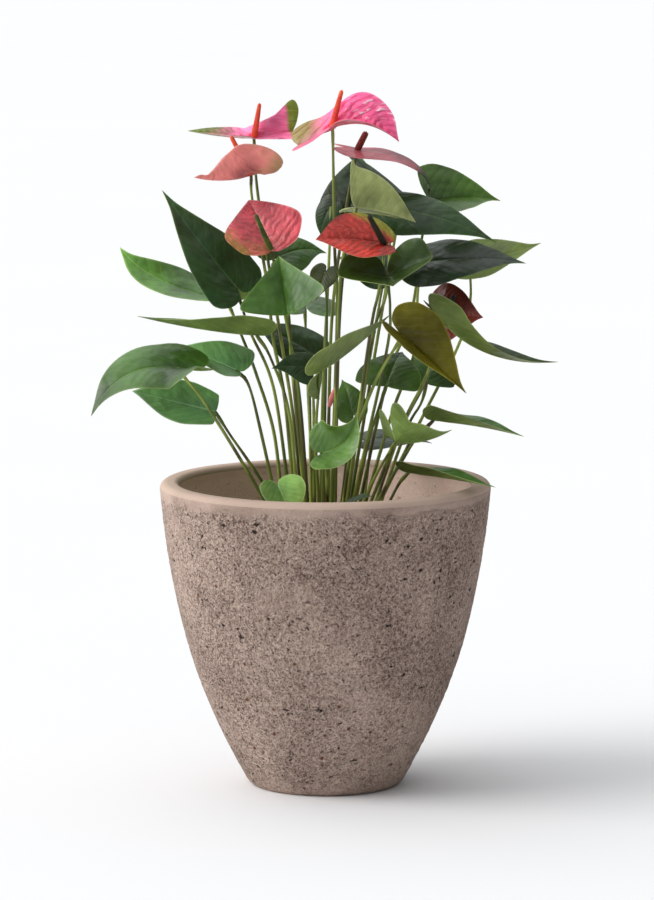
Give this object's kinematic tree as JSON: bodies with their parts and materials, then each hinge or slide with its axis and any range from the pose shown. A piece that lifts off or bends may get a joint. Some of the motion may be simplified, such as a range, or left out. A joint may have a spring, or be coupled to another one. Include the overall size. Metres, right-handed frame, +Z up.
{
  "type": "potted anthurium",
  "caption": "Potted anthurium with heart-shaped leaves and spathed blooms, growing from soil in a tapered stone planter.",
  "frame": {"origin": "middle of the planter's flat foot, on the surface that it stands on", "axes": "+Z up along the planter's axis, -Y towards the front of the plant, +X to its right"},
  "size_m": [0.3902, 0.3111, 0.5932],
  "materials": {
    "leaf_bright": "smooth with a waxy sheen",
    "leaf_bronze": "glossy young leaf",
    "leaf_deep": "smooth with a waxy sheen",
    "leaf_mid": "smooth with a waxy sheen",
    "leaf_olive": "smooth, satin",
    "leaf_pale": "smooth, satin",
    "pumice": "rough, finely pitted, with a smoother lip",
    "soil": "loose, dark and dull",
    "spadix_dark": "finely beaded",
    "spadix_green": "finely beaded",
    "spadix_orange": "finely beaded",
    "spadix_red": "finely beaded",
    "spathe_maroon": "waxy, quilted by its veins",
    "spathe_mauve": "waxy, quilted by its veins",
    "spathe_pink": "waxy, quilted by its veins",
    "spathe_red": "waxy, quilted by its veins",
    "spathe_rose": "waxy, quilted by its veins",
    "spathe_salmon": "waxy, quilted by its veins",
    "stalk": "satin"
  },
  "bodies": {
    "root": {"pot": "pumice", "soil": "soil", "leaf_left_tall": "leaf_deep", "leaf_left_upper": "leaf_mid", "leaf_left_level": "leaf_mid", "leaf_centre_large": "leaf_mid", "leaf_crown_back": "leaf_mid", "leaf_crown_small": "leaf_olive", "leaf_back_upright": "leaf_deep", "leaf_back_lobe": "leaf_deep", "leaf_right_long": "leaf_deep", "leaf_right_edge": "leaf_deep", "leaf_top_right": "leaf_mid", "leaf_pale_front": "leaf_pale", "leaf_far_right": "leaf_mid", "leaf_right_dark": "leaf_deep", "leaf_cupped_front": "leaf_mid", "leaf_young_bronze": "leaf_bronze", "leaf_right_twisted": "leaf_mid", "leaf_right_low": "leaf_mid", "leaf_right_rim": "leaf_mid", "leaf_right_cupped": "leaf_mid", "leaf_right_under": "leaf_deep", "leaf_right_inner": "leaf_mid", "leaf_right_behind": "leaf_mid", "leaf_stem_back": "leaf_deep", "leaf_stem_dark": "leaf_deep", "leaf_stem_long": "leaf_mid", "leaf_front_rim": "leaf_bright", "leaf_front_heart": "leaf_mid", "leaf_front_low": "leaf_deep", "leaf_stem_upright": "leaf_mid", "leaf_left_drooping": "leaf_mid", "leaf_left_middle": "leaf_mid", "leaf_left_flat": "leaf_mid", "leaf_rear_left": "leaf_mid", "leaf_rear_right": "leaf_deep", "bloom_left_top_spathe": "spathe_pink", "bloom_left_top_stalk": "stalk", "bloom_left_top_spadix": "spadix_orange", "bloom_top_spathe": "spathe_pink", "bloom_top_stalk": "stalk", "bloom_top_spadix": "spadix_orange", "bloom_right_top_spathe": "spathe_mauve", "bloom_right_top_stalk": "stalk", "bloom_right_top_spadix": "spadix_red", "bloom_left_hooded_spathe": "spathe_salmon", "bloom_left_hooded_stalk": "stalk", "bloom_left_hooded_spadix": "spadix_orange", "bloom_left_open_spathe": "spathe_rose", "bloom_left_open_stalk": "stalk", "bloom_left_open_spadix": "spadix_green", "bloom_centre_red_spathe": "spathe_red", "bloom_centre_red_stalk": "stalk", "bloom_centre_red_spadix": "spadix_dark", "bloom_right_maroon_spathe": "spathe_maroon", "bloom_right_maroon_stalk": "stalk", "bloom_right_maroon_spadix": "spadix_dark", "bud_stalk": "stalk", "bud": "spathe_pink"}
  },
  "joints": []
}
